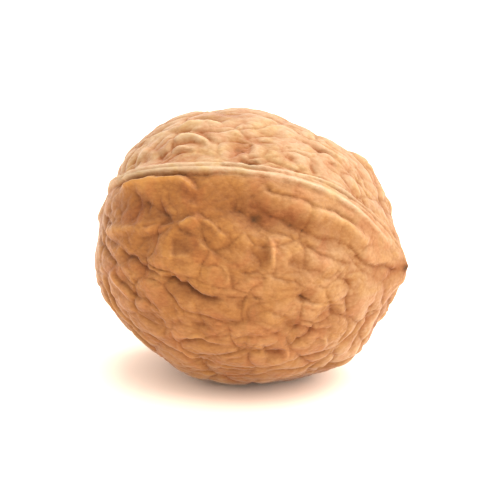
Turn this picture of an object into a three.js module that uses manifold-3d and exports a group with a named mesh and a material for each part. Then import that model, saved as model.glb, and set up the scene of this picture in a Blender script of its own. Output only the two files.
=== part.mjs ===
// A walnut in its shell, lying on its side on a small flat spot. All sizes are in millimetres and +Z is up.
// The nut's long axis is level and lies along X, with the pointed end towards +X and the stem end towards -X.
// The origin is on the surface that the nut rests on, under the middle of its bounding box.
//
// The shell grew as one closed, woody piece, so it is one mesh. A point on it is named by its station, which is
// its distance along the axis from the widest ring, and its angle round the axis: 0 degrees faces -Y, 90 is up.

import * as THREE from "three";
import { mergeVertices } from "three/addons/utils/BufferGeometryUtils.js";
import Module from "manifold-3d";

// Driving dimensions.
const MIDDLE_RADIUS = 17.5; // of the widest ring
const STEM_REACH = 19.6; // from the widest ring to the stem end
const SHOULDER_REACH = 19.2; // from the widest ring to the front of the shell, without its beak
const STEM_ROUNDNESS = 2.25; // superellipse exponents: 2 is an ellipse, more is squarer
const SHOULDER_ROUNDNESS = 2.0;
const BEAK_HEIGHT = 2.2;
const BEAK_SPREAD = 9; // degrees from the axis over which the beak falls away
const FOOT_DEPTH = 0.45; // how far the flat spot is cut into the round underside

// The suture is the raised line where the two halves of the shell meet. It goes right round, through both ends.
const SUTURE_ANGLE = 49;
const SUTURE_TWIST = 6; // degrees gained towards the beak, and lost towards the stem
const SUTURE_HEIGHT = 0.8;
const SUTURE_HALF_WIDTH = 1.5;
const SUTURE_RISE = 4; // distance from the axis over which the line rises from the two ends

// Broad swellings of the shell: station, angle, spread in degrees seen from the middle, height.
const LOBES = [
  { station: 12.5, angle: -93, spread: 26, height: 1.0 },
  { station: 6.5, angle: 118, spread: 16, height: -0.9 },
  { station: -8, angle: 98, spread: 30, height: 0.7 },
  { station: -12, angle: -54, spread: 18, height: -0.7 },
  { station: 11, angle: 40, spread: 20, height: 0.35 },
  { station: -6, angle: 172, spread: 26, height: 0.4 },
];

// Hollows pressed into the shell: station, angle, radius, depth.
const HOLLOWS = [
  { station: 5.9, angle: 30.5, radius: 1.7, depth: 1.0 },
  { station: 10.8, angle: 32, radius: 2.2, depth: 0.6 },
  { station: 13.8, angle: 26, radius: 1.9, depth: 0.5 },
  { station: 7.6, angle: 17.5, radius: 1.7, depth: 0.7 },
  { station: -0.4, angle: -16.5, radius: 1.7, depth: 0.6 },
  { station: -6.8, angle: -18, radius: 1.8, depth: 0.6 },
  { station: 10.8, angle: -18, radius: 1.8, depth: 0.6 },
  { station: 8, angle: -36, radius: 1.6, depth: 0.5 },
  { station: 12.5, angle: -5, radius: 1.7, depth: 0.6 },
  { station: 1.5, angle: 67, radius: 2.2, depth: 0.6 },
  { station: -8.3, angle: 59, radius: 1.8, depth: 0.6 },
  { station: -5.5, angle: 82, radius: 2.2, depth: 0.5 },
];

// The far side and underside carry hollows of the same kind, spread evenly by the golden angle.
const FAR_HOLLOWS = 34;
const FAR_RADIUS = 2.0;
const FAR_DEPTH = 0.5;
const FAR_FIRST_ANGLE = 112; // degrees round the axis, where the far side begins
const FAR_LAST_ANGLE = 292; // and where it ends
const GOLDEN_ANGLE = 137.508;

// Mesh fineness.
const MERIDIANS = 80;
const RINGS = 40;
const MERGE_DISTANCE = 1e-3; // points closer than this are one
const HALVINGS = 40; // of the interval, when a station is looked up

const radians = THREE.MathUtils.degToRad;

// Distance from the nut's centre to the plain form, at a polar angle measured from the beak.
function formRadius(polar) {
  const along = Math.abs(Math.cos(polar));
  const across = Math.abs(Math.sin(polar));
  const towardsBeak = polar < Math.PI / 2;
  const reach = towardsBeak ? SHOULDER_REACH : STEM_REACH;
  const n = towardsBeak ? SHOULDER_ROUNDNESS : STEM_ROUNDNESS;
  const body = ((along / reach) ** n + (across / MIDDLE_RADIUS) ** n) ** (-1 / n);
  const beak = BEAK_HEIGHT * Math.exp(-polar / radians(BEAK_SPREAD));
  return body + beak;
}

// The polar angle at which the plain form reaches a station, found by halving the interval.
function polarAt(station) {
  let low = 0;
  let high = Math.PI;
  for (let step = 0; step < HALVINGS; step++) {
    const middle = (low + high) / 2;
    if (formRadius(middle) * Math.cos(middle) > station) low = middle;
    else high = middle;
  }
  return low;
}

// Unit vector from the nut's centre at a polar angle and an angle round the axis, both in radians.
function direction(polar, angle) {
  return new THREE.Vector3(
    Math.cos(polar),
    -Math.sin(polar) * Math.cos(angle),
    Math.sin(polar) * Math.sin(angle),
  );
}

// The suture's angle round the axis, on its front run, in radians.
function sutureAngle(polar) {
  return radians(SUTURE_ANGLE + SUTURE_TWIST * Math.cos(polar));
}

function farHollows() {
  const span = FAR_LAST_ANGLE - FAR_FIRST_ANGLE;
  const reach = 0.9 * STEM_REACH;
  return Array.from({ length: FAR_HOLLOWS }, (_, i) => ({
    station: reach * (1 - (2 * (i + 0.5)) / FAR_HOLLOWS),
    angle: FAR_FIRST_ANGLE + ((i * GOLDEN_ANGLE) % span),
    radius: FAR_RADIUS,
    depth: FAR_DEPTH,
  }));
}

const place = ({ station, angle }) => direction(polarAt(station), radians(angle));
const lobes = LOBES.map((lobe) => ({ ...lobe, towards: place(lobe) }));
const hollows = [...HOLLOWS, ...farHollows()].map((hollow) => {
  const towards = place(hollow);
  const centre = towards.clone().multiplyScalar(formRadius(polarAt(hollow.station)));
  return { ...hollow, centre };
});

// A smooth bump that is 1 in its middle and is nearly gone two widths away.
const bump = (distance, width) => Math.exp(-((distance / width) ** 2));

// How far the real surface stands out of the plain form, at a point of that form.
function relief(point, towards, polar, angle) {
  const fromAxis = Math.sin(polar) * formRadius(polar);
  const fromSuture = Math.abs(Math.sin(angle - sutureAngle(polar))) * fromAxis;
  const risen = 1 - bump(fromAxis, SUTURE_RISE);
  let height = SUTURE_HEIGHT * risen * bump(fromSuture, SUTURE_HALF_WIDTH);
  for (const lobe of lobes) height += lobe.height * bump(towards.angleTo(lobe.towards), radians(lobe.spread));
  for (const hollow of hollows) height -= hollow.depth * bump(point.distanceTo(hollow.centre), hollow.radius);
  return height;
}

// The round shell: a sphere with its poles on the X axis and its meridians following the suture's twist.
function shellGeometry() {
  const geometry = new THREE.SphereGeometry(1, MERIDIANS, RINGS).rotateZ(-Math.PI / 2);
  const position = geometry.getAttribute("position");
  const vertex = new THREE.Vector3();
  for (let i = 0; i < position.count; i++) {
    vertex.fromBufferAttribute(position, i).normalize();
    const polar = Math.acos(THREE.MathUtils.clamp(vertex.x, -1, 1));
    const atPole = Math.hypot(vertex.y, vertex.z) < MERGE_DISTANCE;
    const round = atPole ? 0 : Math.atan2(vertex.z, -vertex.y);
    const angle = round + sutureAngle(polar);
    const towards = direction(polar, angle);
    const point = towards.clone().multiplyScalar(formRadius(polar));
    point.addScaledVector(towards, relief(point, towards, polar, angle));
    position.setXYZ(i, point.x, point.y, point.z);
  }
  geometry.deleteAttribute("normal");
  geometry.deleteAttribute("uv");
  return mergeVertices(geometry, MERGE_DISTANCE);
}

const wasm = await Module();
wasm.setup();

function solidFrom(geometry) {
  const mesh = new wasm.Mesh({
    numProp: 3,
    vertProperties: new Float32Array(geometry.getAttribute("position").array),
    triVerts: new Uint32Array(geometry.index.array),
  });
  return new wasm.Manifold(mesh);
}

function geometryFrom(solid) {
  const mesh = solid.getMesh();
  return new THREE.BufferGeometry()
    .setAttribute("position", new THREE.BufferAttribute(mesh.vertProperties, 3))
    .setIndex(new THREE.BufferAttribute(mesh.triVerts, 1));
}

// Cuts the flat spot into the underside, level, right under the widest ring.
function withFoot(shell) {
  shell.computeBoundingBox();
  const footHeight = shell.boundingBox.min.z + FOOT_DEPTH;
  const size = 3 * STEM_REACH;
  const below = new THREE.BoxGeometry(size, size, size).translate(0, 0, footHeight - size / 2);
  below.deleteAttribute("normal");
  below.deleteAttribute("uv");
  return geometryFrom(solidFrom(shell).subtract(solidFrom(mergeVertices(below))));
}

// Moves the geometry so that the origin is at the bottom centre of its bounding box.
function onItsFoot(geometry) {
  geometry.computeBoundingBox();
  const { min, max } = geometry.boundingBox;
  return geometry.translate(-(min.x + max.x) / 2, -(min.y + max.y) / 2, -min.z);
}

const shellMaterial = new THREE.MeshStandardMaterial({ color: 0xca9560, roughness: 0.6, metalness: 0 });

const walnut = new THREE.Mesh(onItsFoot(withFoot(shellGeometry())), shellMaterial);
walnut.name = "walnut";

const part = new THREE.Group();
part.add(walnut);

export default part;
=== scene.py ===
"""A whole walnut in its shell, lying on its side: the looks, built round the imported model.

The nut's long axis is level and lies along X, with the tip towards +X. A place on the shell is named by its
station, which is the distance in mm along the axis from the widest ring, and by its angle round the axis in
degrees: 0 faces -Y and 90 is up. Sizes are in mm, and are made metres where Blender takes them.
"""

import math

import bpy
import numpy as np
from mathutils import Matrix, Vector


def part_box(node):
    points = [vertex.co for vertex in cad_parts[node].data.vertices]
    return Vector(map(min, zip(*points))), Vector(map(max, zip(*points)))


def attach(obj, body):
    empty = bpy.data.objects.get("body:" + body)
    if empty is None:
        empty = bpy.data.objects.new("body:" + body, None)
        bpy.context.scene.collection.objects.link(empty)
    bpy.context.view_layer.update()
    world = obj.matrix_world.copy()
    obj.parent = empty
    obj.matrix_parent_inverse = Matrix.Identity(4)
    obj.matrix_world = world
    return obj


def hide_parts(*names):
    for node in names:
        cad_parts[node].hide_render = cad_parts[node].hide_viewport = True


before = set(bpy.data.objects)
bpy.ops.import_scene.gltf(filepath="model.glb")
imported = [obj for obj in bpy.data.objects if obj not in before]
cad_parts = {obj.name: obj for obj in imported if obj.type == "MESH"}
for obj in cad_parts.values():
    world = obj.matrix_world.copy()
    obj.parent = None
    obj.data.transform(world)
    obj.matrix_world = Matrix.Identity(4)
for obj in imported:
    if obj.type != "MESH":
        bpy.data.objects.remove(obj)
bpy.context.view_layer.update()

MM = 0.001
SEED = 7

# The form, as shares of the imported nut's own box.
LOW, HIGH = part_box("walnut")
LENGTH = (HIGH.x - LOW.x) / MM
WIDTH = (HIGH.y - LOW.y) / MM
HEIGHT = (HIGH.z - LOW.z) / MM
MIDDLE_RADIUS = 0.4966 * WIDTH  # of the widest ring
STEM_REACH = 0.4754 * LENGTH  # from the widest ring to the stem end
SHOULDER_REACH = 0.4657 * LENGTH  # from the widest ring to the front of the shell, without its beak
BEAK_HEIGHT = 0.0534 * LENGTH
BEAK_SPREAD = 9  # degrees from the axis over which the beak falls away
STEM_ROUNDNESS = 2.25  # superellipse exponents: 2 is an ellipse, more is squarer
SHOULDER_ROUNDNESS = 2.0
AXIS = np.array([HIGH.x / MM - 0.52 * LENGTH, -0.0035 * WIDTH, 0.4893 * HEIGHT])  # middle of the widest ring
POLAR_STEPS = 4001  # in the table that turns a station into an angle from the tip

# Mesh fineness. The quads are a little smaller on the near side, whose relief is drawn in most detail.
QUADS_PER_EDGE = 128
NEAR_DIRECTION = (0.325, -0.894, 0.309)
NEAR_FINER = 0.25

# The suture, where the two halves of the shell meet: station and angle of its line along the near side. It is
# two thin ridges on a low bed, and they part towards the tip.
SUTURE = [(-19.6, 45), (-16, 47.3), (-8, 48.6), (0, 50.2), (8, 52.2), (12, 54.8), (16, 56.8), (21.5, 57.5)]
SUTURE_RISE = 4  # distance from the axis over which it rises from the two ends
SUTURE_HEIGHT = 0.4
SUTURE_HALF_WIDTH = 0.21
SUTURE_GAP = 0.32  # from the line to each ridge
PARTING_STATION = -4  # where the ridges start to part
PARTING_RUN = 18  # over which the upper one moves 1 mm away
BED_HEIGHT = 0.15
BED_HALF_WIDTH = 0.9
# Fine striae run along the upper side of the bed.
STRIA_SPACING = 0.7
STRIA_HEIGHT = 0.1
STRIA_ABOVE = 0.5
STRIA_HALF_WIDTH = 0.3
# The bed stands on a flange, which is broader below the line than above it.
FLANGE_HEIGHT = 0.45
FLANGE_BELOW = 3.2
FLANGE_ABOVE = 1.3

# Wrinkles that cover the whole shell: how long and how high each kind is.
PILLOW = (4.8, 0.95)
CREASE = (2.3, 0.28)
SWELL = (7, 1.2)
FIBRE = (0.8, 0.08)
PILLOW_STRETCH = 1.5  # how much longer they are along the nut than across it
BANK_SHARE = 0.36  # of a pillow's size, over which its edge is rounded
# Slow noise leaves some patches of the pillows and creases calm.
CALM_UP_TO = 0.3
ROUGH_FROM = 0.6
CALM_PATCH_SHARE = 0.15  # of their height, which is left there
# All kinds keep a share of their height, which is less on the near side, because its relief is drawn below.
NEAR_SIDE_SHARE = 0.5
FAR_SIDE_SHARE = 0.85
NEAR_MIDDLE = 30  # degrees round the axis
NEAR_SPREAD = 95
# They are calmer beside the suture, and more widely so below it.
CALM_LOSS = 0.75
CALM_WIDTH = 1.2
CALM_BELOW = 0.3

# A furrow is a sharp crease between two rounded banks, and it runs out at both ends.
FURROW_TAPER = 1.5  # run over which it reaches its depth
FURROW_END = 0.15  # share of its depth at the very end
FURROW_SHARE = 1.1  # depth as made, as a share of the depths listed
FURROW_FLOOR = 0.08  # half width of its floor
BANK_WIDTHS = 5  # reach of a bank, in widths of the furrow
FURROW_REACH = 8  # beyond which a furrow isn't felt, in widths
JOINING = 4  # power at which crossing furrows add up: the deeper one nearly wins
LIP_WIDTHS = 3.2  # how far the raised lip reaches over the high bank, in widths
LIP_EDGE = 0.12  # and over the low one
CREST_END = 0.1  # share of a crest's height at its very end
CREST_REACH = 3  # beyond which a crest isn't felt, in widths
WOBBLES = [(2.6, 0.13), (0.9, 0.03)]  # size and amount of the wander of what is drawn
WAVES = 7  # that make up a wobble
WAVE_SIZES = (0.6, 1.6)  # as shares of the wobble's size

# Broad swellings: station, angle, spread in degrees seen from the middle, height.
LOBES = [
    (12.5, -93, 26, 1.0),
    (6.5, 118, 16, -0.9),
    (-8, 98, 30, 0.7),
    (-12, -54, 18, -0.7),
    (11, 40, 20, 0.35),
    (-6, 172, 26, 0.4),
    (17.6, -99, 9, -1.05),
    (13, -84, 14, 0.3),
    (-17.6, 56, 11, -1.3),
    (-18.2, 18, 10, -0.6),
    (-17.7, -20, 10, 0.5),
    (18.4, 142, 8, -0.3),
    (18.9, -104, 4, -0.4),
    (15.2, -88, 5, 0.25),
    (4.3, 110, 4, -0.6),
    (8.2, 113, 4, -0.25),
    (10.2, 117, 4, -0.15),
    (13.3, 122, 7, 0.75),
    (16.5, 130, 6, 0.45),
    (9.2, -78, 11, -0.65),
    (-4, -63, 15, 0.4),
    (20.3, -100, 3, 0.4),
    (-16.3, 74, 7, 0.5),
    (-11, 96, 7, 0.3),
    (-2.1, 105, 6, 0.25),
]

# Hollows: station, angle, radius along the nut, radius round it, depth. A puff has a depth below 0.
HOLLOWS = [
    (-9.5, 40.5, 5.5, 2.0, -0.45),
    (9, 45, 7, 1.9, -0.4),
    (5.9, 31, 0.9, 0.9, 0.35),
    (6.5, 31, 3.8, 1.8, 0.75),
    (10.4, 34, 2.6, 1.5, 0.6),
    (13.8, 27, 2.6, 1.5, 0.45),
    (7.3, 17.5, 1.1, 2.0, 0.5),
    (11, 14, 1.3, 1.2, 0.45),
    (-0.6, -16, 1.4, 1.1, 0.45),
    (-7.2, -17, 1.6, 1.2, 0.4),
    (-5.7, -18, 0.5, 0.5, 0.25),
    (4.9, -6.4, 0.5, 0.5, 0.2),
    (10.6, -17.5, 1.4, 1.1, 0.55),
    (8.4, -35, 1.2, 0.9, 0.45),
    (12.4, -4.5, 1.4, 1.0, 0.45),
    (-6.5, 27.5, 1.8, 1.2, 0.4),
    (-8, 14.5, 1.5, 1.3, 0.45),
    (-2.5, 15.5, 1.6, 1.3, 0.4),
    (-11.5, -9, 1.6, 1.4, 0.4),
    (1.3, 64, 1.2, 1.6, 0.5),
    (3.7, 56, 0.9, 0.7, 0.4),
    (6.8, 57.5, 1.0, 0.5, 0.3),
    (8, 66, 1.0, 0.6, 0.3),
    (-6.6, 60.5, 1.8, 0.7, -0.3),
    (-10.7, 58, 0.8, 0.9, 0.4),
    (-4.8, 82, 2.0, 0.6, 0.4),
    (-12.8, 55, 0.8, 2.2, 0.45),
    (-5.4, 56, 1.6, 0.8, -0.25),
    (-7, 66.5, 2.2, 0.8, -0.25),
    (-11.3, 63, 1.3, 1.3, -0.35),
]

# Furrows of the near side: depth, width, lip and path. The lip is how far the bank on the path's left stands
# over the other one, and a path's points are a station and an angle.
FURROWS = [
    # The two edges of the suture band.
    (0.55, 0.25, 0.15, [(-17.5, 45), (-16, 45.5), (-14, 46), (-12, 45.3), (-10, 45.5), (-8, 46.4),
                        (-6, 46.6), (-4, 46.5), (-2, 46.8), (0, 48.4), (2, 49.4), (4, 49.7),
                        (6, 50), (9, 50.5)]),
    (0.3, 0.25, 0.15, [(8, 50.4), (10, 51.2), (12, 52.5), (14, 54.5), (16, 55), (18, 55), (20, 54)]),
    (0.25, 0.25, -0.1, [(-2, 51), (0, 51.7), (2.3, 52), (4.7, 52.2), (8, 54), (12, 57), (14, 59.5)]),
    (0.25, 0.25, 0.0, [(12.5, 58), (14, 60), (16, 59), (17.5, 58), (19.3, 58)]),
    (0.18, 0.2, 0.0, [(10, 53.5), (13, 56), (15.5, 57), (18.5, 56.5)]),
    (0.5, 0.4, 0.2, [(-16, 45.5), (-14, 46), (-11, 45)]),
    # The puffy fold under the stem end of the suture.
    (0.5, 0.3, -0.5, [(-13, 43), (-10, 43.8), (-7, 45.2), (-5, 45.6), (-3.4, 44.8), (-2.2, 42.5),
                      (-1.6, 39.8)]),
    (0.3, 0.5, 0.1, [(-1.7, 40), (-1.9, 37), (-1.5, 34.8)]),
    # The flange under the suture, and the crease that runs to the tip.
    (0.5, 0.3, 0.15, [(5.5, 46.6), (7.2, 45), (8.6, 44.6), (10.4, 45), (11.7, 44.5), (12.8, 45.3),
                      (13.9, 45.5), (14.9, 47), (15.6, 46.3), (16.5, 44.5)]),
    (0.35, 0.22, 0.0, [(9.6, 50), (9.7, 47), (10, 44), (9.6, 41)]),
    (0.35, 0.22, 0.0, [(5.6, 49), (6, 47), (7, 45), (7.2, 42)]),
    (0.45, 0.9, 0.2, [(5, 38), (7, 36), (9, 34), (10.7, 32.3), (13.2, 29.8), (15, 31), (16.1, 29.5)]),
    (0.55, 0.38, 0.35, [(15.5, 31), (16.2, 28.5), (17, 25), (17.7, 20), (18.1, 16), (19, 15),
                        (20, 11), (20.8, 8)]),
    # Upper front.
    (0.35, 0.35, 0.1, [(-10.2, 40), (-9.5, 36), (-9, 31.5)]),
    (0.3, 0.35, 0.1, [(-9, 38), (-8.3, 33.5), (-8, 27.5)]),
    (0.4, 0.45, 0.15, [(-6.7, 36.5), (-5.8, 30.5), (-4.7, 26.5), (-3.8, 25.5)]),
    (0.35, 0.35, 0.1, [(-9.5, 19.5), (-8.3, 18), (-6.2, 20.5), (-4.2, 25.5)]),
    (0.4, 0.35, 0.1, [(2.9, 40), (3.5, 38.5), (3.4, 34.5), (5, 32)]),
    (0.4, 0.4, 0.1, [(-9.4, 23), (-8, 24), (-6.6, 25), (-5, 26.3), (-3.8, 27.5), (-2, 29.8),
                     (-1.2, 30.3)]),
    (0.45, 0.4, 0.15, [(-1.8, 31.3), (-0.8, 30.5), (0.3, 29.5), (1.2, 27.5), (1.9, 25.3), (3.1, 24)]),
    (0.4, 0.4, 0.1, [(-4, 28), (-3.6, 26), (-3, 23.5), (-2.2, 22), (-1, 21.5)]),
    (0.3, 0.5, -0.25, [(-4.2, 22), (-3.9, 18), (-4, 13), (-3.8, 9)]),
    (0.25, 0.4, -0.2, [(-1.6, 21.5), (-0.7, 20), (0.7, 17.5), (1.6, 15.5), (2.2, 12)]),
    (0.3, 0.4, 0.0, [(3, 26), (3.4, 22), (3.2, 18), (3.9, 15)]),
    (0.25, 0.35, 0.0, [(8.2, 27), (8.4, 25), (8.9, 23.5), (9, 21)]),
    # The main furrow across the middle.
    (0.95, 0.55, 0.5, [(-5.5, 3.6), (-3.5, 3.2), (-2.7, 2), (-1.9, 1.6), (-1, 0), (0.1, -2.2),
                       (1.4, -2.9), (2.9, -3.1)]),
    (0.65, 0.5, 0.3, [(-12, 11.5), (-10, 9.5), (-8, 6.7), (-6.6, 4.6), (-5, 3)]),
    (0.35, 0.4, 0.1, [(2.5, -3), (4.2, -2.6), (6, -3.4), (7.5, -2.6)]),
    (0.35, 0.35, -0.1, [(0, 9.5), (1.6, 10), (3, 9), (3.9, 6), (4.1, 2.5), (3.8, -0.5)]),
    (0.25, 0.35, 0.0, [(4.3, 9.5), (5.6, 8.5), (6.9, 8.7), (8.2, 7)]),
    # Right of the middle.
    (0.3, 0.3, -0.1, [(9.1, 21.5), (9, 20), (8.9, 14), (8.8, 8.7), (9.2, 6.4), (10, 5.7), (11, 6)]),
    (0.45, 0.4, 0.15, [(11.4, 26.5), (12.2, 25), (13.1, 22), (14.1, 20.3), (15, 18), (15.7, 17.3),
                       (16.6, 17)]),
    (0.35, 0.35, 0.1, [(11, 11.3), (11.8, 11.7), (12.9, 11.5), (13.9, 9.5), (14.9, 7.3)]),
    (0.3, 0.35, 0.1, [(15, 9), (15.6, 7), (16.1, 3.5), (16.6, 1.5), (17.2, 0.5)]),
    (0.25, 0.3, 0.1, [(16.6, -3.5), (16.9, -4), (17.5, -6)]),
    (0.45, 0.4, 0.3, [(11.2, -1.5), (12, -3.2), (13, -7), (13.9, -8.8), (15, -10.2), (16, -10.4),
                      (17.1, -12)]),
    (0.3, 0.35, 0.0, [(11.2, -10), (11.4, -11.5), (11.9, -15)]),
    (0.35, 0.3, 0.1, [(14.7, -14), (14.9, -17), (15.3, -22.5)]),
    (0.3, 0.3, 0.0, [(16, -13), (16.4, -17), (17, -19)]),
    (0.4, 0.35, 0.15, [(10.2, -19.8), (10.7, -20.8), (11.6, -21.5), (13.2, -26), (14.4, -30),
                       (15, -31.5)]),
    (0.3, 0.3, 0.1, [(12.5, -31.5), (12.9, -32.5), (13.4, -36)]),
    (0.4, 0.35, 0.2, [(8.6, -42), (9.4, -42.5), (11.1, -45), (12.1, -45.5), (13.2, -48), (13.9, -50)]),
    (0.3, 0.35, 0.0, [(7.1, -26.5), (7.3, -31), (7.1, -38), (8, -41)]),
    (0.3, 0.35, 0.0, [(10, -27), (10, -32), (9.8, -39)]),
    (0.3, 0.35, 0.0, [(4.9, -22.5), (5.4, -29.5), (6.6, -33)]),
    (0.35, 0.35, 0.1, [(13.2, -18.5), (13.9, -18), (14.6, -16.5)]),
    (0.35, 0.35, 0.1, [(3.4, -24), (5, -22.2), (6.8, -22), (8.5, -22.5), (10, -20.5)]),
    (0.2, 0.35, 0.0, [(11.5, -26), (12.6, -22), (13.6, -17.5)]),
    # Lower front.
    (0.45, 0.5, -0.3, [(-13.4, -3.5), (-11.2, -6), (-9.8, -9.5), (-7.6, -10.4), (-6.2, -12)]),
    (0.3, 0.35, 0.1, [(-4.2, -26.6), (-2.4, -26), (-1.3, -24.3), (-0.1, -24.8), (1.3, -26.2),
                      (3.4, -27)]),
    (0.35, 0.35, 0.1, [(-8.9, -29.5), (-8.3, -31), (-7.1, -33), (-6.1, -34.5), (-4.6, -35)]),
    (0.35, 0.35, 0.1, [(-4.5, -33.5), (-3.9, -34.5), (-2.6, -38), (-1.6, -39), (0.2, -40.5)]),
    (0.35, 0.35, 0.15, [(0.4, -40.5), (1.2, -41), (3.2, -43), (5, -44), (7, -44), (8.9, -43)]),
    (0.3, 0.35, 0.1, [(-0.6, -45), (0.3, -45), (3, -45.5), (5.4, -47.5)]),
    (0.5, 0.45, 0.2, [(-12.5, -34), (-11.9, -37), (-11.3, -40), (-10, -44), (-8, -47.5)]),
    (0.5, 0.5, 0.2, [(-15, -8), (-14.3, -16), (-13, -24), (-11, -30.5), (-9.4, -35)]),
    (0.3, 0.45, 0.1, [(-16.4, -12), (-15.6, -22), (-14, -33), (-11.8, -44), (-8.5, -53)]),
    (0.25, 0.4, 0.0, [(-9, -53), (-4, -52), (1, -55), (6, -56.5)]),
    (0.25, 0.4, 0.0, [(-5.8, -18.5), (-5.4, -22), (-5.8, -27)]),
    (0.35, 0.35, 0.1, [(-3.8, -7), (-3.6, -11), (-3, -13.5)]),
    (0.35, 0.35, 0.1, [(-14.7, -26.5), (-13.2, -30.5), (-11.3, -30)]),
    (0.2, 0.4, 0.0, [(-3.2, -8.5), (-3.6, -13), (-2.8, -19)]),
    (0.2, 0.35, 0.0, [(2.6, -12.5), (4, -14), (6, -13.5), (8.3, -15)]),
    # Stem end.
    (0.3, 0.3, 0.1, [(-16.4, 33), (-15.3, 28), (-14.2, 24.5), (-13.4, 19)]),
    (0.3, 0.3, 0.1, [(-15.2, 34), (-14.2, 30), (-13.4, 26.5), (-12.6, 23)]),
    (0.25, 0.3, 0.0, [(-13.9, 36), (-12.8, 32), (-12.2, 28)]),
    (0.3, 0.35, 0.0, [(-17.2, 18), (-16, 12), (-14.6, 8), (-13.2, 4.5), (-11.8, 1)]),
    (0.3, 0.35, 0.0, [(-16.8, 26), (-15.4, 18), (-13.6, 14.5), (-11.6, 13)]),
    # Upper half.
    (0.45, 0.4, 0.25, [(-9.4, 55.5), (-9, 57), (-7.7, 60), (-6.5, 63), (-5, 65), (-3.3, 64.5),
                       (-2.2, 62)]),
    (0.4, 0.4, 0.2, [(-8, 51.5), (-7.6, 52.5), (-6.3, 57), (-5, 60), (-3.4, 60.5)]),
    (0.3, 0.35, 0.15, [(-9.2, 62), (-8.8, 63.5), (-7.8, 67), (-6, 70.5), (-4.5, 69.5), (-3, 67.5),
                       (-1.5, 64)]),
    (0.35, 0.35, -0.2, [(-8.3, 78.5), (-7, 80), (-5, 80.3), (-3, 80), (-1.5, 77.5)]),
    (0.4, 0.35, 0.1, [(-14.6, 51), (-14, 55), (-13.3, 60), (-11.8, 66)]),
    (0.35, 0.35, 0.1, [(-12.6, 50.5), (-12.2, 54), (-11.5, 59), (-10.4, 64), (-8.8, 71)]),
    (0.35, 0.35, -0.15, [(0.6, 57), (1.6, 59), (2.1, 61.5), (2.6, 65.5)]),
    (0.35, 0.35, 0.1, [(3, 54), (3.4, 57), (4.4, 58)]),
    (0.3, 0.35, 0.1, [(8.6, 58.5), (9.2, 60), (9.8, 63), (10.2, 66)]),
    (0.4, 0.35, 0.1, [(9.8, 69), (10.4, 67), (11, 65), (11.6, 63)]),
    (0.35, 0.35, 0.15, [(7, 84.5), (8.9, 84.3), (10, 84), (11, 84.3), (12, 85)]),
    (0.35, 0.35, 0.15, [(12.8, 84.5), (13.6, 85), (14.3, 86), (15.1, 87), (16.4, 87)]),
    (0.3, 0.35, 0.1, [(14.4, 64.5), (15, 66), (16, 68), (16.8, 71)]),
    (0.25, 0.35, 0.0, [(10.8, 74), (12.4, 74.5), (13.8, 76.5)]),
    (0.35, 0.35, 0.1, [(11.3, 76.5), (12.7, 80.5), (13.9, 87.5), (15.4, 92.5)]),
    (0.3, 0.3, 0.1, [(7.5, 69), (8.2, 65), (9.4, 62)]),
    (0.25, 0.35, 0.0, [(1.6, 78), (4, 77), (6.4, 78.5)]),
    (0.25, 0.35, 0.0, [(-1, 72), (1.4, 70.5), (4, 71.5), (5.6, 70)]),
    (0.25, 0.35, 0.0, [(-14, 74), (-11.5, 79), (-8, 84)]),
    (0.25, 0.35, 0.0, [(-4, 92), (0, 95), (4, 93), (8, 95)]),
]

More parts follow.
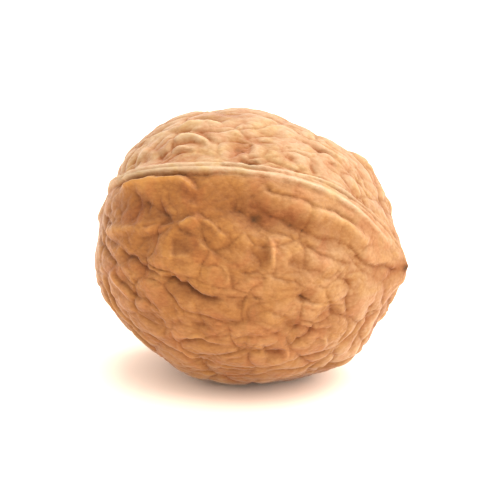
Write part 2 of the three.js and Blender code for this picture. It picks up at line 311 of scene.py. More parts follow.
# Narrow crests of the near side: height, width, path.
RIDGES = [
    # Middle of the front.
    (0.45, 0.55, [(-4, 25), (-2.2, 28), (0, 28.3), (1, 26.8), (1.7, 24.5), (3, 22)]),
    (0.33, 0.35, [(-1.2, 21.5), (0.3, 18), (1.6, 15)]),
    (0.33, 0.45, [(-5.5, 13), (-4, 12.2), (-2.5, 12), (-1, 12)]),
    (0.45, 0.4, [(8, 25.5), (8.5, 22), (8.6, 17), (8.4, 12)]),
    (0.33, 0.3, [(2, 10.8), (3, 10), (3.5, 7.5), (3.6, 3)]),
    (0.26, 0.25, [(0.1, 9), (0.3, 6.5), (1.2, 5.6)]),
    (0.26, 0.5, [(10.2, 19), (10.2, 12), (11.8, 10.5), (12.8, 12.5)]),
    # Lower left.
    (0.39, 0.5, [(-14.2, -1.5), (-13, -5), (-11.5, -8.3), (-9.8, -10)]),
    (0.39, 0.5, [(-15.6, -8), (-14.8, -18), (-13, -27), (-10.8, -33.5), (-8.6, -37.5)]),
    (0.39, 0.45, [(-16.2, -22), (-14.6, -33), (-12.2, -41), (-9.6, -46), (-7, -49)]),
    (0.33, 0.35, [(-4.6, -32.5), (-3.6, -34), (-2.4, -36.5), (-1.2, -38)]),
    (0.26, 0.3, [(-2.6, -23.6), (-1.2, -22.8), (0.4, -24), (2.4, -25.6)]),
    # Lower right.
    (0.33, 0.4, [(11, -5.5), (12.5, -8), (14, -10.6), (16, -12)]),
    (0.26, 0.25, [(15.1, 8.5), (15.3, 5), (15.1, 1)]),
    (0.33, 0.3, [(7, -29), (6.9, -33), (7.1, -38)]),
    (0.33, 0.3, [(9.4, -30.5), (9.7, -35), (9.3, -40)]),
    (0.33, 0.3, [(12.9, -30.5), (13.6, -35), (13.6, -40), (13.1, -44)]),
    (0.26, 0.3, [(11.9, -10.5), (12.1, -14)]),
    # The stem end, and the fold under the suture.
    (0.39, 0.35, [(-12.5, 42), (-10, 42.8), (-8, 43.4), (-6, 43.6), (-4.2, 43.2), (-2.8, 41.6),
                  (-2, 39.2)]),
    (0.26, 0.2, [(-2, 35.5), (-1.7, 33.5)]),
    (0.39, 0.7, [(-15.5, 18), (-13, 20.5), (-10, 22.5), (-7.5, 23.5), (-5.4, 26)]),
    (0.2, 0.2, [(-15.5, 31), (-14.6, 27.5), (-14.8, 23)]),
    (0.2, 0.2, [(-14.6, 31), (-13.7, 27.5), (-13.9, 23.5)]),
    # Upper half.
    (0.45, 0.45, [(-8.2, 63.5), (-6.8, 66), (-5.4, 67.3), (-4.2, 66.8), (-3, 64.5), (-2.1, 62)]),
    (0.45, 0.45, [(-6.9, 56), (-6.3, 58), (-5.2, 59.3), (-4, 59.5), (-2.9, 57.5)]),
    (0.33, 0.5, [(-10.5, 72), (-8.5, 75), (-6.5, 77.5), (-4.5, 78.3), (-2.5, 78)]),
    (0.39, 0.35, [(-14.4, 50.5), (-13.8, 55), (-12.8, 60)]),
    (0.33, 0.35, [(2.9, 62), (3.1, 58.5), (3.6, 55.5)]),
    (0.33, 0.4, [(9.4, 87.5), (11.4, 87), (13.4, 88)]),
    (0.26, 0.4, [(9.6, 80.5), (11.8, 80.5), (13.8, 81.5)]),
    # The lit crest of the flange near the tip.
    (0.39, 0.7, [(11.5, 42.5), (13.5, 42.5), (15.2, 42.5), (16.6, 39), (18, 34)]),
]

# Brown stains, most of them laid in hollows and along furrows as painted shade: station, angle, radius along
# the nut, radius round it, strength.
STAINS_AND_PIT_SHADE = [
    (5, 37, 4.5, 1.5, 0.22),
    (6, 31.6, 1.0, 0.5, 0.15),
    (11.5, 34.5, 2.8, 1.0, 0.2),
    (-1.5, 17.5, 2.2, 1.2, 0.1),
    (7.5, 17, 0.7, 1.8, 0.14),
    (-0.2, -17.5, 1.4, 0.8, 0.1),
    (-7.2, -17, 1.6, 0.8, 0.1),
    (12.8, -4.5, 1.6, 0.9, 0.12),
    (10.8, -18, 1.2, 0.8, 0.06),
    (8.3, -34, 1.4, 0.9, 0.12),
    (-5.5, 53, 2.5, 0.6, 0.14),
    (2.6, 56.5, 0.8, 0.9, 0.24),
    (5.8, 56, 1.0, 0.4, 0.14),
    (-7, 28, 1.6, 0.8, 0.12),
    (-9.5, 33.5, 2.5, 1.5, 0.1),
    (-4.9, 27, 1, 0.8, 0.14),
    (-1.5, -2.5, 2.6, 0.8, 0.14),
    (-8.5, 7, 2.4, 0.7, 0.12),
    (1.3, 66, 1.5, 2, 0.18),
    (-3, 87, 3, 1.2, 0.2),
    (-8, 63, 2, 1, 0.16),
    (-5.5, 71.5, 2.5, 0.6, 0.14),
    (7.5, 66, 1, 0.7, 0.14),
    (15.2, 70, 2, 0.8, 0.15),
    (21.2, -30, 0.5, 0.5, 0.6),
]

# Places painted pale, partly dust and partly painted sheen along the rims: station, angle, radius along the
# nut, radius round it, strength.
DUST_AND_PAINTED_SHEEN = [
    (18, -32, 2.5, 8, 0.38),
    (14.5, -62, 4, 4, 0.38),
    (8, -74, 5, 3, 0.35),
    (-2, -66, 8, 2.5, 0.3),
    (-13, -50, 4, 3, 0.25),
    (-17.5, 5, 1.8, 9, 0.4),
    (-15, 33, 3, 3, 0.25),
]

# The far side and underside have furrows and hollows of the same kind, grown by a rule, and short fine
# furrows lie all round. Each pair is the span that a value is drawn from.
FAR_ANGLES = (104, 298)
FAR_FURROWS = {"count": 110, "angles": FAR_ANGLES, "strides": (3, 9), "depths": (0.3, 0.6),
               "widths": (0.3, 0.5), "turn": 0.5}
FINE_FURROWS = {"count": 90, "angles": (0, 360), "strides": (2, 5), "depths": (0.12, 0.26),
                "widths": (0.14, 0.26), "turn": 0.8}
STRIDE = 1.1
HEADING_KEPT = 0.8  # from one stride to the next
HEADING_DRIFT = 0.35  # radians
GROWN_LIPS = (-0.15, 0.2)
FURROW_STATIONS = (-17, 17)
LAST_STATION = 0.95 * STEM_REACH
THINNEST = 0.03  # least square of the radius that a stride is turned to degrees with, in middle radii
FAR_HOLLOWS = 46
HOLLOW_STATIONS = (-16, 16)
HOLLOW_LENGTHS = (0.8, 2.2)
HOLLOW_WIDTHS = (0.7, 1.5)
HOLLOW_DEPTHS = (0.25, 0.55)

# How brown a place is: BROWN on average, with painted shade: paler where it stands out of the shell round it,
# and painted darker where it lies low, in the furrows and hollows.
BROWN = 0.35
SHADE_PER_MM_NEAR = 0.75
SHADE_PER_MM_WIDE = 0.3
NEAR_ROUNDS = 12  # of blurring, which take in about a millimetre
WIDE_ROUNDS = 240  # and several millimetres

# How pale a place is painted, partly as rubbed wood and partly as painted light. The half above the suture,
# lit from overhead, is painted pale. The half below is brown, and painted paler towards the tip, which faces
# the light on the right.
PALE_ELSEWHERE = 0.36  # on the far side and near the axis
PALE_AT_EDGE = 0.6
PALE_EDGE = -0.75  # from the suture's line
PALE_EDGE_WIDTH = 0.7
PALE_BELOW = 0.05
PALE_GAIN = 0.42  # from the widest ring to PALE_STATION
PALE_STATION = 16
PALE_POWER = 1.3
PALE_MIDDLE = 45  # degrees round the axis
PALE_SPREAD = 75
PALE_AXIS = 12  # distance from the axis over which the two halves' colours come apart

# Skin colours, from what stands out to the bottom of a furrow, the darker stops giving painted shade in
# furrows and pits: orange-tan wood, and a paler skin that is partly rubbed wood and partly painted light and
# sheen.
ORANGE_TAN = ("#95652B", "#754615", "#5A3007", "#391F04")
PALE_LIT_AND_RUBBED = ("#A48C6E", "#8D6B48", "#7B4A22", "#462D11")
INNER_STOPS = (0.37, 0.68)
# Soft patches of golden and rosy tint, multiplied over them.
PATCH_SIZE = 3.2
GOLDEN = (0.36, "#FFFBE6")
UNTINTED = (0.5, "#FFFFFF")
ROSY = (0.64, "#FFF2EC")
# What adds to a place's brownness: stains, the grain of the wood, and hair cracks between small plates.
MOTTLE_SIZE = 4.5
MOTTLE_RANGE = 0.4
GRAIN_SIZE = 0.4
GRAIN_RANGE = 0.5
GRAIN_ALONG = 0.6  # how fast it changes along the nut, as a share of across, so that it runs that way
PLATE_SIZE = 2.3
CRACK_SHARE = 0.12  # of a plate's size
CRACK_BROWN = 0.045
PLATE_BROWN = -0.01
DRIFT_SIZE = 1.2  # of the wander of the cracks
DRIFT_RANGE = 1.4
# Relief too fine for the mesh.
PLATE_RELIEF = 0.08
GRAIN_RELIEF = 0.12
# Dry wood is matt, and mattest in the furrows. A little dust lights its edges.
ROUGHNESS = (0.46, 0.8)
SHEEN_TINT = "#FFEDE0"

# The studio: a pale floor in a pale room, a large softbox overhead and a small one on the right. Softboxes
# are a name, a place, a size and a power, and lengths are in metres.
FLOOR_COLOUR = "#FFE9D5"
FLOOR_HALF_SIZE = 3.0
ROOM_STRENGTH = 1.6
SOFTBOXES = [
    ("top softbox", (0.25, 0.1, 0.6), 1.1, 14.0),
    ("side softbox", (0.5, -0.25, 0.22), 0.4, 1.2),
]

# A long lens from the front, a little from the right and above, aimed near the middle of the widest ring.
CAMERA_AZIMUTH = 20
CAMERA_ELEVATION = 18
CAMERA_DISTANCE = 320
CAMERA_LENS = 180
CAMERA_AIM = (0.19, 0, -0.23)
SENSOR_WIDTH = 36
CLIP_START = 10


# ---- Places on the plain form ----

def form_radius(polar):
    """Distance from the middle of the nut to the plain form, in mm, at an angle from the tip in radians."""
    along, across = np.abs(np.cos(polar)), np.abs(np.sin(polar))
    tip_half = np.cos(polar) > 0
    reach = np.where(tip_half, SHOULDER_REACH, STEM_REACH)
    n = np.where(tip_half, SHOULDER_ROUNDNESS, STEM_ROUNDNESS)
    body = ((along / reach) ** n + (across / MIDDLE_RADIUS) ** n) ** (-1 / n)
    return body + BEAK_HEIGHT * np.exp(-np.degrees(polar) / BEAK_SPREAD)


POLARS = np.linspace(0, np.pi, POLAR_STEPS)
STATIONS = form_radius(POLARS) * np.cos(POLARS)


def on_form(station, angle):
    """Points of the plain form, in mm from the middle of the nut."""
    polar = np.interp(-np.asarray(station, float), -STATIONS, POLARS)
    turn = np.radians(np.asarray(angle, float))
    radius = form_radius(polar)
    across = radius * np.sin(polar)
    return np.stack([radius * np.cos(polar), -across * np.cos(turn), across * np.sin(turn)], -1)


def cube_sphere(n):
    """Unit vectors spread evenly over a sphere, and the quads that join them: a cube with n quads an edge."""
    steps = np.arange(n + 1)
    i, j = np.meshgrid(steps, steps, indexing="ij")
    corners, quads, start = [], [], 0
    cell = (i[:-1, :-1] * (n + 1) + j[:-1, :-1]).ravel()
    for axis in range(3):
        for side in (0, n):
            face = np.empty(((n + 1) ** 2, 3), int)
            face[:, axis] = side
            face[:, (axis + 1) % 3] = i.ravel()
            face[:, (axis + 2) % 3] = j.ravel()
            ring = np.stack([cell, cell + n + 1, cell + n + 2, cell + 1], 1)
            quads.append(start + (ring if side else ring[:, ::-1]))
            corners.append(face)
            start += len(face)
    points, index = np.unique(np.concatenate(corners), axis=0, return_inverse=True)
    spread = np.tan((points / n - 0.5) * np.pi / 2)
    spread /= np.linalg.norm(spread, axis=1)[:, None]
    return spread, index.ravel()[np.concatenate(quads)]


def point_normals(points, quads):
    """Unit vector that points straight out of the mesh at each point."""
    a, b, c, d = (points[quads[:, k]] for k in range(4))
    facing = np.cross(c - a, d - b)
    normals = np.zeros_like(points)
    for k in range(4):
        np.add.at(normals, quads[:, k], facing)
    return normals / np.linalg.norm(normals, axis=1)[:, None]


# ---- Relief ----

def bump(distance, width):
    """1 in its middle, and nearly gone two widths away."""
    return np.exp(-((distance / width) ** 2))


def near_path(points, normals, path):
    """For each point: distance from the path, run along it from its nearer end, and side (+1 on its left)."""
    ends = on_form(*np.array(path, float).T)
    best = np.full(len(points), np.inf)
    run = np.zeros(len(points))
    side = np.ones(len(points))
    total = np.linalg.norm(np.diff(ends, axis=0), axis=1).sum()
    gone = 0.0
    for start, end in zip(ends, ends[1:]):
        along = end - start
        size = np.linalg.norm(along)
        t = np.clip((points - start) @ along / size**2, 0, 1)
        off = points - start - t[:, None] * along
        distance = np.linalg.norm(off, axis=1)
        closer = distance < best
        best[closer] = distance[closer]
        run[closer] = gone + t[closer] * size
        left = np.cross(normals[closer], along / size)
        side[closer] = np.where((off[closer] * left).sum(1) < 0, -1, 1)
        gone += size
    return best, np.minimum(run, total - run), side


def beside(points, normals, path, reach):
    """The points within reach of a path: their index, and what near_path says of them."""
    ends = on_form(*np.array(path, float).T)
    middle = ends.mean(0)
    reach += np.linalg.norm(ends - middle, axis=1).max()
    near = np.nonzero(np.linalg.norm(points - middle, axis=1) < reach)[0]
    return near, *near_path(points[near], normals[near], path)


def wobble(points, size, amount, draw):
    """The points, moved aside a little by a smooth random field, so that what is drawn on them wanders."""
    moved = points.copy()
    for axis in range(3):
        for _ in range(WAVES):
            wave = draw.normal(0, 1, 3)
            wave *= 2 * np.pi / (size * draw.uniform(*WAVE_SIZES)) / np.linalg.norm(wave)
            start = draw.uniform(0, 2 * np.pi)
            moved[:, axis] += amount * np.sin(points @ wave + start) / math.sqrt(WAVES)
    return moved


def carve(points, normals, furrows):
    """Depth of the furrows and height of their lips."""
    depths = np.zeros(len(points))
    lips = np.zeros(len(points))
    for depth, width, lip, path in furrows:
        near, distance, run, side = beside(points, normals, path, FURROW_REACH * width)
        taper = np.clip(run / FURROW_TAPER + FURROW_END, 0, 1)
        bank = 1 - np.clip(np.maximum(distance - FURROW_FLOOR, 0) / (BANK_WIDTHS * width), 0, 1)
        depths[near] += (FURROW_SHARE * depth * taper * (1 - np.sqrt(1 - bank**2))) ** JOINING
        on_high_bank = side * np.sign(lip) > 0
        edge = np.where(on_high_bank, bump(distance, LIP_WIDTHS * width), bump(distance, LIP_EDGE))
        lips[near] += abs(lip) * np.clip(run / FURROW_TAPER, 0, 1) * edge
    return depths ** (1 / JOINING), lips


def crests(points, normals, ridges):
    """Height of the narrow crests."""
    height = np.zeros(len(points))
    for high, width, path in ridges:
        near, distance, run, _ = beside(points, normals, path, CREST_REACH * width)
        taper = np.clip(run / FURROW_TAPER + CREST_END, 0, 1)
        height[near] = np.maximum(height[near], high * taper * bump(distance, width))
    return height


def dents(points, hollows):
    """Sum of oval dents, each a smooth bump in its two radii."""
    depth = np.zeros(len(points))
    for station, angle, along, round_, deep in hollows:
        middle = on_form(station, angle)
        out = middle / np.linalg.norm(middle)
        round_axis = np.cross([1, 0, 0], out)
        round_axis /= np.linalg.norm(round_axis)
        long_axis = np.cross(out, round_axis)
        off = points - middle
        share = np.hypot(off @ long_axis / along, off @ round_axis / round_)
        share = np.hypot(share, (off @ out) / (along + round_))
        depth += deep * bump(share, 1.0)
    return depth


def suture_distance(points):
    """Distance from the suture's line, above 0 on the half that holds the top, and distance from the axis."""
    across = np.hypot(points[:, 1], points[:, 2])
    angle = np.arctan2(points[:, 2], -points[:, 1])
    crest = np.radians(np.interp(points[:, 0], *zip(*SUTURE)))
    return np.sin(angle - crest) * across, across


def suture_relief(stations, from_suture, from_axis):
    """The two ridges of the suture, their bed, its striae and its flange."""
    parting = np.clip((stations - PARTING_STATION) / PARTING_RUN, 0, 1)
    height = SUTURE_HEIGHT * bump(from_suture + SUTURE_GAP, SUTURE_HALF_WIDTH)
    height += SUTURE_HEIGHT * bump(from_suture - SUTURE_GAP - parting, SUTURE_HALF_WIDTH)
    height += BED_HEIGHT * bump(from_suture - parting / 2, BED_HALF_WIDTH + parting / 2)
    height += FLANGE_HEIGHT * bump(from_suture, np.where(from_suture < 0, FLANGE_BELOW, FLANGE_ABOVE))
    stria = np.cos(2 * np.pi * from_suture / STRIA_SPACING)
    height += STRIA_HEIGHT * stria * bump(from_suture - STRIA_ABOVE - parting / 2, STRIA_HALF_WIDTH + parting)
    return height * (1 - bump(from_axis, SUTURE_RISE))


def wrinkle_share(angle, from_suture):
    """The share of its height that an all-over wrinkle keeps at each point."""
    near_side = bump(angle - NEAR_MIDDLE, NEAR_SPREAD)
    calm = bump(np.where(from_suture < 0, CALM_BELOW, 1) * from_suture, CALM_WIDTH)
    share = FAR_SIDE_SHARE + (NEAR_SIDE_SHARE - FAR_SIDE_SHARE) * near_side
    return share * (1 - CALM_LOSS * calm)


def painted_shade_and_stains(height, quads, stain_and_pit_shade):
    """How brown each point is, 0 to 1, with painted shade: what lies lower than the shell round it is painted
    darker, and the stains add to it.
    """
    near = height - blurred(height, quads, NEAR_ROUNDS)
    wide = height - blurred(height, quads, WIDE_ROUNDS)
    return np.clip(BROWN - SHADE_PER_MM_NEAR * near - SHADE_PER_MM_WIDE * wide + stain_and_pit_shade, 0, 1)


def paleness(stations, angle, from_suture, from_axis):
    """How pale each point is painted, partly as rubbed wood and partly as painted light, before the places of
    dust and painted sheen are added.
    """
    below = PALE_BELOW + PALE_GAIN * np.clip(stations / PALE_STATION, 0, 1) ** PALE_POWER
    two_halves = np.clip(PALE_AT_EDGE + (from_suture - PALE_EDGE) / PALE_EDGE_WIDTH, below, 1)
    apart = bump(angle - PALE_MIDDLE, PALE_SPREAD) * np.clip(from_axis / PALE_AXIS, 0, 1)
    return PALE_ELSEWHERE + (two_halves - PALE_ELSEWHERE) * apart


def lobes(points):
    """Height of the broad swellings."""
    out = points / np.linalg.norm(points, axis=1)[:, None]
    height = np.zeros(len(points))
    for station, angle, spread, high in LOBES:
        towards = on_form(station, angle)
        towards /= np.linalg.norm(towards)
        height += high * bump(np.degrees(np.arccos(np.clip(out @ towards, -1, 1))), spread)
    return height


def grown_furrows(draw, count, angles, strides, depths, widths, turn):
    """Furrows that wander from stem to tip. turn is how far off that line they start, in radians."""
    furrows = []
    for _ in range(count):
        station, angle = draw.uniform(*FURROW_STATIONS), draw.uniform(*angles)
        heading = draw.normal(0, turn)
        path = [(station, angle)]
        for _ in range(draw.integers(*strides)):
            heading = HEADING_KEPT * heading + draw.normal(0, HEADING_DRIFT)
            station += STRIDE * math.cos(heading)
            across = MIDDLE_RADIUS * math.sqrt(max(THINNEST, 1 - (station / STEM_REACH) ** 2))
            angle += math.degrees(STRIDE * math.sin(heading) / across)
            if abs(station) > LAST_STATION:
                break
            path.append((station, angle))
        if len(path) > 2:
            furrows.append((draw.uniform(*depths), draw.uniform(*widths), draw.uniform(*GROWN_LIPS), path))
    return furrows


def grown_hollows(draw, count, angles):
    """Hollows strewn over a span of angles."""
    spans = (HOLLOW_STATIONS, angles, HOLLOW_LENGTHS, HOLLOW_WIDTHS, HOLLOW_DEPTHS)
    return [tuple(draw.uniform(*span) for span in spans) for _ in range(count)]


def blurred(values, quads, rounds):
    """Each value replaced, again and again, by the mean of its neighbours."""
    a = np.concatenate([quads[:, k] for k in range(4)])
    b = np.concatenate([quads[:, (k + 1) % 4] for k in range(4)])
    count = np.bincount(a, minlength=len(values)) + np.bincount(b, minlength=len(values))
    for _ in range(rounds):
        total = np.bincount(a, values[b], len(values)) + np.bincount(b, values[a], len(values))
        values = total / count
    return values


# ---- The shell ----

def linear(hex_colour):
    """sRGB hex to the linear RGBA that Blender works in."""
    parts = [int(hex_colour[k:k + 2], 16) / 255 for k in (1, 3, 5)]
    return [p / 12.92 if p <= 0.04045 else ((p + 0.055) / 1.055) ** 2.4 for p in parts] + [1.0]


def add(tree, kind, settings=None, links=None):
    """Adds a node: settings are its properties or socket values, and links are socket to output."""
    node = tree.nodes.new(kind)
    for name, value in (settings or {}).items():
        if isinstance(name, str) and hasattr(node, name):
            setattr(node, name, value)
        else:
            node.inputs[name].default_value = value
    for socket, output in (links or {}).items():
        tree.links.new(output, node.inputs[socket])
    return node


def per(size):
    """The scale of a pattern whose features are size mm across."""
    return 1 / (size * MM)


def woody_shell():
    """Dried walnut shell: matt, orange-tan wood, brown in the furrows and hollows with painted shade, and
    paler on the upper half, the tip end and the rims with painted light, partly as rubbed wood and dust.
    """
    material = bpy.data.materials.new("dried walnut shell")
    material.use_nodes = True
    tree = material.node_tree
    tree.nodes.clear()
    place = add(tree, "ShaderNodeTexCoord").outputs["Object"]
    brown = add(tree, "ShaderNodeAttribute", {"attribute_name": "shade_and_stains"}).outputs["Fac"]
    pale = add(tree, "ShaderNodeAttribute", {"attribute_name": "painted_light_and_rub"}).outputs["Fac"]

    # Stains, grain, and hair cracks that wander.
    mottle = add(tree, "ShaderNodeTexNoise", {"Scale": per(MOTTLE_SIZE), "Detail": 3.0}, {"Vector": place})
    lengthwise = add(tree, "ShaderNodeMapping", {"Scale": (GRAIN_ALONG, 1, 1)}, {"Vector": place})
    grain = add(tree, "ShaderNodeTexNoise", {"Scale": per(GRAIN_SIZE), "Detail": 4.0, "Roughness": 0.65},
                {"Vector": lengthwise.outputs["Vector"]})
    drift = add(tree, "ShaderNodeTexNoise", {"Scale": per(DRIFT_SIZE), "Detail": 2.0}, {"Vector": place})
    aside = add(tree, "ShaderNodeVectorMath",
                {"operation": "MULTIPLY_ADD", 1: (DRIFT_RANGE * MM,) * 3, 2: (-DRIFT_RANGE / 2 * MM,) * 3},
                {0: drift.outputs["Color"]})
    wandering = add(tree, "ShaderNodeVectorMath",
                    links={0: lengthwise.outputs["Vector"], 1: aside.outputs[0]})
    cracks = add(tree, "ShaderNodeTexVoronoi", {"feature": "DISTANCE_TO_EDGE", "Scale": per(PLATE_SIZE)},
                 {"Vector": wandering.outputs[0]})
    plate = add(tree, "ShaderNodeMapRange", {"From Max": CRACK_SHARE, "To Min": 0.0, "To Max": 1.0},
                {"Value": cracks.outputs["Distance"]})

    # How brown: the attribute, which holds painted shade and stains, marked by the three patterns.
    stained = add(tree, "ShaderNodeMath",
                  {"operation": "MULTIPLY_ADD", 1: MOTTLE_RANGE, 2: -MOTTLE_RANGE / 2},
                  {0: mottle.outputs["Fac"]})
    streaked = add(tree, "ShaderNodeMath",
                   {"operation": "MULTIPLY_ADD", 1: GRAIN_RANGE, 2: -GRAIN_RANGE / 2},
                   {0: grain.outputs["Fac"]})
    crazed = add(tree, "ShaderNodeMath",
                 {"operation": "MULTIPLY_ADD", 1: PLATE_BROWN - CRACK_BROWN, 2: CRACK_BROWN},
                 {0: plate.outputs["Result"]})
    uneven = add(tree, "ShaderNodeMath", links={0: stained.outputs[0], 1: streaked.outputs[0]})
    marked = add(tree, "ShaderNodeMath", links={0: uneven.outputs[0], 1: crazed.outputs[0]})
    depth = add(tree, "ShaderNodeMath", {"use_clamp": True}, {0: brown, 1: marked.outputs[0]})

    # The two skins, and the tint over them. The paler skin is painted light on the upper half, the tip end
    # and the rims, and partly rubbed wood.
    skins = []
    for colours in (ORANGE_TAN, PALE_LIT_AND_RUBBED):
        ramp = add(tree, "ShaderNodeValToRGB", links={"Fac": depth.outputs[0]})
        stops = ramp.color_ramp.elements
        stops[0].color = linear(colours[0])
        stops[1].color = linear(colours[-1])
        for where, colour in zip(INNER_STOPS, colours[1:-1]):
            stops.new(where).color = linear(colour)
        skins.append(ramp.outputs["Color"])
    skin = add(tree, "ShaderNodeMix", {"data_type": "RGBA"}, {0: pale, 6: skins[0], 7: skins[1]})
    patches = add(tree, "ShaderNodeTexNoise", {"Scale": per(PATCH_SIZE), "Detail": 2.0, "Distortion": 0.6},
                  {"Vector": place})
    tints = add(tree, "ShaderNodeValToRGB", links={"Fac": patches.outputs["Fac"]})
    for stop, (where, tint) in zip(tints.color_ramp.elements, (GOLDEN, ROSY)):
        stop.position = where
        stop.color = linear(tint)
    tints.color_ramp.elements.new(UNTINTED[0]).color = linear(UNTINTED[1])
    colour = add(tree, "ShaderNodeMix", {"data_type": "RGBA", "blend_type": "MULTIPLY", 0: 1.0},
                 {6: skin.outputs[2], 7: tints.outputs["Color"]})

    dull = add(tree, "ShaderNodeMapRange", {"To Min": ROUGHNESS[0], "To Max": ROUGHNESS[1]},
               {"Value": depth.outputs[0]})
    plates = add(tree, "ShaderNodeBump", {"Strength": 0.4, "Distance": PLATE_RELIEF * MM},
                 {"Height": plate.outputs["Result"]})
    height = add(tree, "ShaderNodeBump", {"Strength": 0.5, "Distance": GRAIN_RELIEF * MM},
                 {"Height": grain.outputs["Fac"], "Normal": plates.outputs["Normal"]})
    shader = add(tree, "ShaderNodeBsdfPrincipled",
                 {"IOR": 1.5, "Specular IOR Level": 0.22, "Sheen Weight": 0.2, "Sheen Roughness": 0.4,
                  "Sheen Tint": linear(SHEEN_TINT)},
                 {"Base Color": colour.outputs[2], "Roughness": dull.outputs["Result"],
                  "Normal": height.outputs["Normal"]})
    add(tree, "ShaderNodeOutputMaterial", links={"Surface": shader.outputs["BSDF"]})
    return material


def wrinkle_tree(material):
    """Geometry nodes that wrinkle a smooth shell: a broad swell, pillows, creases and fine fibres."""
    tree = bpy.data.node_groups.new("shell wrinkles", "GeometryNodeTree")
    face = tree.interface
    face.new_socket("Geometry", in_out="INPUT", socket_type="NodeSocketGeometry")
    for name in ("Pillow size", "Pillow height", "Crease size", "Crease height", "Swell size",
                 "Swell height", "Fibre size", "Fibre height", "Stretch", "Seed"):
        face.new_socket(name, in_out="INPUT", socket_type="NodeSocketFloat")
    face.new_socket("Geometry", in_out="OUTPUT", socket_type="NodeSocketGeometry")
    given = add(tree, "NodeGroupInput").outputs
    place = add(tree, "GeometryNodeInputPosition").outputs[0]
    share = add(tree, "GeometryNodeInputNamedAttribute", {"data_type": "FLOAT", "Name": "share"}).outputs[0]
    longer = add(tree, "ShaderNodeCombineXYZ", {1: 1.0, 2: 1.0}, {0: given["Stretch"]})
    squeezed = add(tree, "ShaderNodeVectorMath", {"operation": "DIVIDE"}, {0: place, 1: longer.outputs[0]})
    layers = []
    for kind in ("Swell", "Fibre"):
        scaled = add(tree, "ShaderNodeMath", {"operation": "DIVIDE", 0: 1.0}, {1: given[kind + " size"]})
        noise = add(tree, "ShaderNodeTexNoise", {"noise_dimensions": "4D", "Detail": 2.0},
                    {"Vector": squeezed.outputs[0], "Scale": scaled.outputs[0], "W": given["Seed"]})
        middle = add(tree, "ShaderNodeMath", {"operation": "SUBTRACT", 1: 0.5}, {0: noise.outputs[0]})
        layers.append(add(tree, "ShaderNodeMath", {"operation": "MULTIPLY"},
                          {0: middle.outputs[0], 1: given[kind + " height"]}))
    for kind in ("Pillow", "Crease"):
        scaled = add(tree, "ShaderNodeMath", {"operation": "DIVIDE", 0: 1.0}, {1: given[kind + " size"]})
        drift = add(tree, "ShaderNodeTexNoise", {"noise_dimensions": "4D", "Detail": 1.0},
                    {"Vector": squeezed.outputs[0], "Scale": scaled.outputs[0], "W": given["Seed"]})
        aside = add(tree, "ShaderNodeVectorMath", {"operation": "SUBTRACT", 1: (0.5, 0.5, 0.5)},
                    {0: drift.outputs["Color"]})
        far = add(tree, "ShaderNodeVectorMath", {"operation": "SCALE"},
                  {0: aside.outputs[0], "Scale": given[kind + " size"]})
        moved = add(tree, "ShaderNodeVectorMath", {"operation": "ADD"},
                    {0: squeezed.outputs[0], 1: far.outputs[0]})
        cells = add(tree, "ShaderNodeTexVoronoi", {"voronoi_dimensions": "4D", "feature": "DISTANCE_TO_EDGE"},
                    {"Vector": moved.outputs[0], "Scale": scaled.outputs[0], "W": given["Seed"]})
        bank = add(tree, "ShaderNodeMapRange", {"From Max": BANK_SHARE, "To Min": 1.0, "To Max": 0.0},
                   {"Value": cells.outputs["Distance"]})
        square = add(tree, "ShaderNodeMath", {"operation": "MULTIPLY"},
                     {0: bank.outputs[0], 1: bank.outputs[0]})
        rest = add(tree, "ShaderNodeMath", {"operation": "SUBTRACT", 0: 1.0}, {1: square.outputs[0]})
        puff = add(tree, "ShaderNodeMath", {"operation": "SQRT"}, {0: rest.outputs[0]})
        sunk = add(tree, "ShaderNodeMath", {"operation": "SUBTRACT", 1: 1.0}, {0: puff.outputs[0]})
        patch = add(tree, "ShaderNodeMapRange",
                    {"From Min": CALM_UP_TO, "From Max": ROUGH_FROM, "To Min": CALM_PATCH_SHARE},
                    {"Value": drift.outputs[0]})
        shape = add(tree, "ShaderNodeMath", {"operation": "MULTIPLY"},
                    {0: sunk.outputs[0], 1: patch.outputs[0]})
        layers.append(add(tree, "ShaderNodeMath", {"operation": "MULTIPLY"},
                          {0: shape.outputs[0], 1: given[kind + " height"]}))
    total = layers[0]
    for layer in layers[1:]:
        total = add(tree, "ShaderNodeMath", links={0: total.outputs[0], 1: layer.outputs[0]})
    height = add(tree, "ShaderNodeMath", {"operation": "MULTIPLY"}, {0: total.outputs[0], 1: share})
    offset = add(tree, "ShaderNodeVectorMath", {"operation": "SCALE"},
                 {0: add(tree, "GeometryNodeInputNormal").outputs[0], "Scale": height.outputs[0]})
    noted = add(tree, "GeometryNodeStoreNamedAttribute", {"data_type": "FLOAT", "Name": "wrinkle"},
                {"Geometry": given["Geometry"], "Value": height.outputs[0]})
    pushed = add(tree, "GeometryNodeSetPosition",
                 links={"Geometry": noted.outputs[0], "Offset": offset.outputs[0]})
    real = add(tree, "GeometryNodeRealizeInstances", links={"Geometry": pushed.outputs[0]})
    skinned = add(tree, "GeometryNodeSetMaterial", {"Material": material}, {"Geometry": real.outputs[0]})
    add(tree, "NodeGroupOutput", links={"Geometry": skinned.outputs[0]})
    return tree


def wrinkled(smooth, material):
    """The plain mesh that the wrinkle tree makes of a smooth object, which is then removed."""
    modifier = smooth.modifiers.new("wrinkles", "NODES")
    modifier.node_group = wrinkle_tree(material)
    sizes = {"Stretch": PILLOW_STRETCH, "Seed": float(SEED)}
    for kind, (size, height) in {"Pillow": PILLOW, "Crease": CREASE, "Swell": SWELL, "Fibre": FIBRE}.items():
        sizes[kind + " size"] = size * MM
        sizes[kind + " height"] = height * MM
    for socket in modifier.node_group.interface.items_tree:
        if socket.name in sizes:
            modifier[socket.identifier] = sizes[socket.name]
    evaluated = smooth.evaluated_get(bpy.context.evaluated_depsgraph_get())
    mesh = bpy.data.meshes.new_from_object(evaluated)
    bpy.data.objects.remove(smooth)
    return mesh


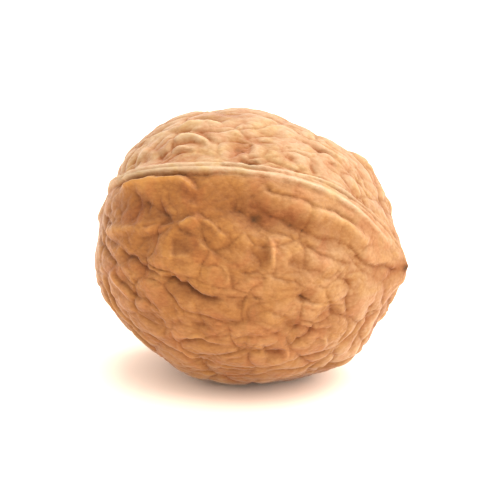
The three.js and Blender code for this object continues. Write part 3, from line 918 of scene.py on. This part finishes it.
def read(mesh, name, collection, width):
    """The numbers that each point of the mesh carries, as an array."""
    values = np.empty(len(mesh.vertices) * width, np.float32)
    collection.foreach_get(name, values)
    return values.reshape(-1, width).astype(float) if width > 1 else values.astype(float)


def note(mesh, name, values):
    """Writes a number for each point on the mesh, as an attribute."""
    mesh.attributes.new(name, "FLOAT", "POINT").data.foreach_set("value", values.astype(np.float32))


def whole_walnut():
    """The nut: an even mesh on the plain form, wrinkled by geometry nodes, with the drawn relief on top."""
    out, quads = cube_sphere(QUADS_PER_EDGE)
    out += NEAR_FINER * np.array(NEAR_DIRECTION)
    out /= np.linalg.norm(out, axis=1)[:, None]
    polar = np.arccos(np.clip(out[:, 0], -1, 1))
    form = out * form_radius(polar)[:, None]
    normals = point_normals(form, quads)
    from_suture, from_axis = suture_distance(form)
    angle = np.degrees(np.arctan2(form[:, 2], -form[:, 1]))

    smooth = bpy.data.meshes.new("smooth shell")
    smooth.from_pydata((form * MM).tolist(), [], quads.tolist())
    note(smooth, "share", wrinkle_share(angle, from_suture))
    smooth_shell = bpy.data.objects.new("smooth shell", smooth)
    bpy.context.scene.collection.objects.link(smooth_shell)
    mesh = wrinkled(smooth_shell, woody_shell())
    wrinkle = read(mesh, "value", mesh.attributes["wrinkle"].data, 1) / MM
    wrinkled_form = read(mesh, "co", mesh.vertices, 3) / MM

    draw = np.random.default_rng(SEED)
    drawn_on = form
    for size, amount in WOBBLES:
        drawn_on = wobble(drawn_on, size, amount, draw)
    furrows = FURROWS + grown_furrows(draw, **FAR_FURROWS) + grown_furrows(draw, **FINE_FURROWS)
    hollows = HOLLOWS + grown_hollows(draw, FAR_HOLLOWS, FAR_ANGLES)
    furrow, lips = carve(drawn_on, normals, furrows)
    height = lobes(form) + suture_relief(form[:, 0], from_suture, from_axis) + lips
    height += crests(drawn_on, normals, RIDGES) - furrow - dents(drawn_on, hollows)
    placed = wrinkled_form + height[:, None] * normals + AXIS
    placed[:, 2] = np.maximum(placed[:, 2], 0)

    mesh.name = "whole_walnut"
    mesh.vertices.foreach_set("co", (placed * MM).ravel())
    mesh.attributes.remove(mesh.attributes["wrinkle"])
    mesh.attributes.remove(mesh.attributes["share"])
    # Painted shade: the furrows and hollows, the low places, are painted darker, and the stains add to it.
    note(mesh, "shade_and_stains", painted_shade_and_stains(height + wrinkle, quads, dents(drawn_on, STAINS_AND_PIT_SHADE)))
    # Painted light: the upper half, the tip end and the rims are painted paler, partly as rubbed wood and
    # dust.
    note(mesh, "painted_light_and_rub", paleness(form[:, 0], angle, from_suture, from_axis) + dents(drawn_on, DUST_AND_PAINTED_SHEEN))
    mesh.polygons.foreach_set("use_smooth", [True] * len(mesh.polygons))
    mesh.update()
    nut = bpy.data.objects.new("whole_walnut", mesh)
    bpy.context.scene.collection.objects.link(nut)
    return nut


# ---- The studio ----

def studio():
    """The floor, the pale room round it and the two softboxes."""
    floor_material = bpy.data.materials.new("white sweep")
    floor_material.use_nodes = True
    paint = floor_material.node_tree.nodes["Principled BSDF"].inputs
    paint["Base Color"].default_value = linear(FLOOR_COLOUR)
    paint["Roughness"].default_value = 0.9
    mesh = bpy.data.meshes.new("floor")
    corners = [(-1, -1), (1, -1), (1, 1), (-1, 1)]
    mesh.from_pydata([(x * FLOOR_HALF_SIZE, y * FLOOR_HALF_SIZE, 0) for x, y in corners], [], [(0, 1, 2, 3)])
    mesh.materials.append(floor_material)
    floor = bpy.data.objects.new("floor", mesh)
    bpy.context.scene.collection.objects.link(floor)
    world = bpy.data.worlds.new("white room")
    world.use_nodes = True
    world.node_tree.nodes["Background"].inputs["Color"].default_value = (1, 1, 1, 1)
    world.node_tree.nodes["Background"].inputs["Strength"].default_value = ROOM_STRENGTH
    bpy.context.scene.world = world
    for name, place, size, power in SOFTBOXES:
        softbox(name, place, size, power)


def softbox(name, place, size, power):
    """A square light that faces the nut."""
    light = bpy.data.lights.new(name, "AREA")
    light.shape = "SQUARE"
    light.size = size
    light.energy = power
    lamp = bpy.data.objects.new(name, light)
    lamp.location = place
    middle = Vector((0, 0, HEIGHT * MM / 2))
    lamp.rotation_euler = (Vector(place) - middle).to_track_quat("Z", "Y").to_euler()
    bpy.context.scene.collection.objects.link(lamp)


def camera():
    """The camera that the nut is seen with."""
    azimuth, elevation = math.radians(CAMERA_AZIMUTH), math.radians(CAMERA_ELEVATION)
    back = Vector((math.sin(azimuth) * math.cos(elevation), -math.cos(azimuth) * math.cos(elevation),
                   math.sin(elevation)))
    aim = (Vector(AXIS) + Vector(CAMERA_AIM)) * MM
    data = bpy.data.cameras.new("camera")
    data.lens = CAMERA_LENS
    data.sensor_width = SENSOR_WIDTH
    data.clip_start = CLIP_START * MM
    seen = bpy.data.objects.new("camera", data)
    seen.location = aim + back * CAMERA_DISTANCE * MM
    seen.rotation_euler = back.to_track_quat("Z", "Y").to_euler()
    bpy.context.scene.collection.objects.link(seen)
    bpy.context.scene.camera = seen


camera()
studio()
nut = whole_walnut()
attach(nut, "root")
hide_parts("walnut")
bpy.context.scene.view_settings.view_transform = "Standard"
